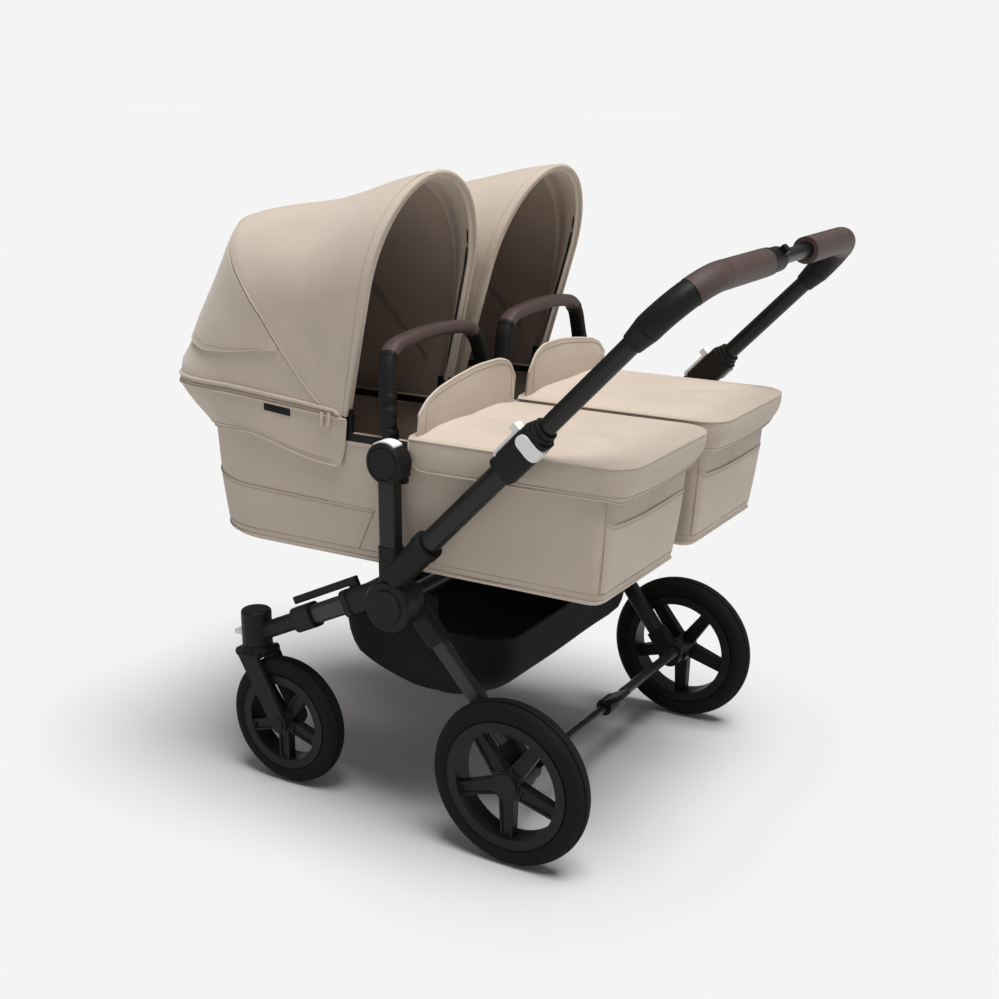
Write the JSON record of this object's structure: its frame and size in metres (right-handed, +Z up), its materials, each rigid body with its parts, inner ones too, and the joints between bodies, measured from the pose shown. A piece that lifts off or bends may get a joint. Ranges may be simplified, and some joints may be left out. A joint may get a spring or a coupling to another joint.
{
  "type": "double stroller",
  "caption": "Side-by-side double stroller with twin hooded bassinets on a folding aluminium frame, swivelling front wheels, under-seat basket and a telescoping leather-wrapped handlebar.",
  "frame": {"origin": "on the floor, on the middle plane, under the hub axis of the side frames", "axes": "+X to the stroller's left side, +Y to the rear where the handlebar is, +Z up"},
  "size_m": [0.773, 1.1033, 1.1154],
  "materials": {
    "frame_black": "moulded, fine texture",
    "tube_black": "black anodised, satin",
    "tube_gunmetal": "brown-grey anodised, satin",
    "button_white": "moulded, smooth",
    "tyre_rubber": "foam-filled rubber, matte",
    "rim_black": "moulded, satin",
    "grip_leather": "stitched leather look",
    "cloth_beige": "woven melange cloth",
    "mattress_white": "soft cotton cover",
    "basket_cloth": "black woven cloth"
  },
  "bodies": {
    "chassis": {"hub_yoke_left": "frame_black", "hub_yoke_right": "frame_black", "pivot_bolts": "frame_black", "seat_posts": "tube_black", "post_heads": "frame_black", "centre_post": "frame_black", "cross_tubes": "tube_black", "lower_handle_tubes": "tube_black", "handle_clamp_left": "frame_black", "handle_clamp_right": "frame_black", "front_sockets": "frame_black", "front_tubes": "tube_gunmetal", "caster_housings": "frame_black", "basket": "basket_cloth"},
    "handlebar": {"handle_arm_left": "tube_black", "handle_arm_right": "tube_black", "elbow_covers": "frame_black", "grip_left": "grip_leather", "grip_right": "grip_leather", "crossbar_tube": "tube_black"},
    "twist_clip": {"twist_clip": "frame_black"},
    "rear_frame": {"rear_sockets": "frame_black", "rear_tubes": "tube_gunmetal", "axle_housings": "frame_black"},
    "brake": {"brake_bar": "tube_black", "brake_pedal": "frame_black"},
    "clamp_lever_left": {"clamp_lever_left": "button_white"},
    "fold_button_left": {"fold_button_left": "button_white"},
    "seat_button_left": {"seat_button_left": "button_white"},
    "caster_left": {"fork_left": "frame_black"},
    "front_wheel_left": {"front_tyre_left": "tyre_rubber", "front_rim_left": "rim_black"},
    "swivel_lock_left": {"swivel_lock_left": "button_white"},
    "rear_wheel_left": {"rear_tyre_left": "tyre_rubber", "rear_rim_left": "rim_black"},
    "bassinet_left": {"bassinet_tub_left": "cloth_beige", "bassinet_frame_left": "frame_black", "mattress_left": "mattress_white", "apron_left": "cloth_beige", "hood_back_left": "cloth_beige"},
    "hood_left": {"hood_bow_left": "tube_black", "hood_front_left": "cloth_beige"},
    "carry_handle_left": {"carry_handle_left": "grip_leather"},
    "clamp_lever_right": {"clamp_lever_right": "button_white"},
    "fold_button_right": {"fold_button_right": "button_white"},
    "seat_button_right": {"seat_button_right": "button_white"},
    "caster_right": {"fork_right": "frame_black"},
    "front_wheel_right": {"front_tyre_right": "tyre_rubber", "front_rim_right": "rim_black"},
    "swivel_lock_right": {"swivel_lock_right": "button_white"},
    "rear_wheel_right": {"rear_tyre_right": "tyre_rubber", "rear_rim_right": "rim_black"},
    "bassinet_right": {"bassinet_tub_right": "cloth_beige", "bassinet_frame_right": "frame_black", "mattress_right": "mattress_white", "apron_right": "cloth_beige", "hood_back_right": "cloth_beige"},
    "hood_right": {"hood_bow_right": "tube_black", "hood_front_right": "cloth_beige"},
    "carry_handle_right": {"carry_handle_right": "grip_leather"}
  },
  "joints": [
    {"name": "handle_slide", "type": "slide", "parent": "chassis", "child": "handlebar", "axis": [0, 0.7009, 0.7132], "range_m": [-0.12, 0.08]},
    {"name": "clip_twist", "type": "hinge", "parent": "handlebar", "child": "twist_clip", "pos_m": [0.067, 0.519, 0.9906], "axis": [1, 0, 0], "range_deg": [0, 45]},
    {"name": "rear_fold", "type": "hinge", "parent": "chassis", "child": "rear_frame", "pos_m": [0, 0, 0.421], "axis": [1, 0, 0], "range_deg": [-38, 0]},
    {"name": "brake_press", "type": "hinge", "parent": "rear_frame", "child": "brake", "pos_m": [0, 0.241, 0.1673], "axis": [1, 0, 0], "range_deg": [-18, 0]},
    {"name": "lever_left", "type": "hinge", "parent": "chassis", "child": "clamp_lever_left", "pos_m": [0.36, 0.2061, 0.7078], "axis": [1, 0, 0], "range_deg": [0, 60]},
    {"name": "fold_press_left", "type": "slide", "parent": "chassis", "child": "fold_button_left", "axis": [-1, 0, 0], "range_m": [0, 0.0022], "stiffness_N_per_m": 400, "springref_m": -0.001},
    {"name": "seat_release_left", "type": "slide", "parent": "chassis", "child": "seat_button_left", "axis": [0, 0, -1], "range_m": [0, 0.003], "stiffness_N_per_m": 400, "springref_m": -0.002},
    {"name": "caster_swivel_left", "type": "hinge", "parent": "chassis", "child": "caster_left", "pos_m": [0.298, -0.349, 0.26], "axis": [0, 0, 1], "continuous": true},
    {"name": "front_roll_left", "type": "hinge", "parent": "caster_left", "child": "front_wheel_left", "pos_m": [0.298, -0.282, 0.1216], "axis": [1, 0, 0], "continuous": true},
    {"name": "swivel_lock_turn_left", "type": "hinge", "parent": "chassis", "child": "swivel_lock_left", "pos_m": [0.298, -0.371, 0.275], "axis": [1, 0, 0], "range_deg": [0, 20]},
    {"name": "rear_roll_left", "type": "hinge", "parent": "rear_frame", "child": "rear_wheel_left", "pos_m": [0.345, 0.221, 0.1463], "axis": [1, 0, 0], "continuous": true},
    {"name": "bassinet_lift_left", "type": "slide", "parent": "chassis", "child": "bassinet_left", "axis": [0, 0, 1], "range_m": [0, 0.45]},
    {"name": "hood_fold_left", "type": "hinge", "parent": "bassinet_left", "child": "hood_left", "pos_m": [0.17575, -0.108, 0.72], "axis": [1, 0, 0], "range_deg": [0, 30], "deforming": ["hood_front_left"]},
    {"name": "carry_swing_left", "type": "hinge", "parent": "bassinet_left", "child": "carry_handle_left", "pos_m": [0.17575, -0.014, 0.708], "axis": [1, 0, 0], "range_deg": [-9.5, 5]},
    {"name": "lever_right", "type": "hinge", "parent": "chassis", "child": "clamp_lever_right", "pos_m": [-0.36, 0.2061, 0.7078], "axis": [1, 0, 0], "range_deg": [0, 60]},
    {"name": "fold_press_right", "type": "slide", "parent": "chassis", "child": "fold_button_right", "axis": [1, 0, 0], "range_m": [0, 0.0022], "stiffness_N_per_m": 400, "springref_m": -0.001},
    {"name": "seat_release_right", "type": "slide", "parent": "chassis", "child": "seat_button_right", "axis": [0, 0, -1], "range_m": [0, 0.003], "stiffness_N_per_m": 400, "springref_m": -0.002},
    {"name": "caster_swivel_right", "type": "hinge", "parent": "chassis", "child": "caster_right", "pos_m": [-0.298, -0.349, 0.26], "axis": [0, 0, 1], "continuous": true},
    {"name": "front_roll_right", "type": "hinge", "parent": "caster_right", "child": "front_wheel_right", "pos_m": [-0.298, -0.282, 0.1216], "axis": [1, 0, 0], "continuous": true},
    {"name": "swivel_lock_turn_right", "type": "hinge", "parent": "chassis", "child": "swivel_lock_right", "pos_m": [-0.298, -0.371, 0.275], "axis": [1, 0, 0], "range_deg": [0, 20]},
    {"name": "rear_roll_right", "type": "hinge", "parent": "rear_frame", "child": "rear_wheel_right", "pos_m": [-0.345, 0.221, 0.1463], "axis": [1, 0, 0], "continuous": true},
    {"name": "bassinet_lift_right", "type": "slide", "parent": "chassis", "child": "bassinet_right", "axis": [0, 0, 1], "range_m": [0, 0.45]},
    {"name": "hood_fold_right", "type": "hinge", "parent": "bassinet_right", "child": "hood_right", "pos_m": [-0.17575, -0.108, 0.72], "axis": [1, 0, 0], "range_deg": [0, 30], "deforming": ["hood_front_right"]},
    {"name": "carry_swing_right", "type": "hinge", "parent": "bassinet_right", "child": "carry_handle_right", "pos_m": [-0.17575, -0.014, 0.708], "axis": [1, 0, 0], "range_deg": [-4, 11]}
  ]
}
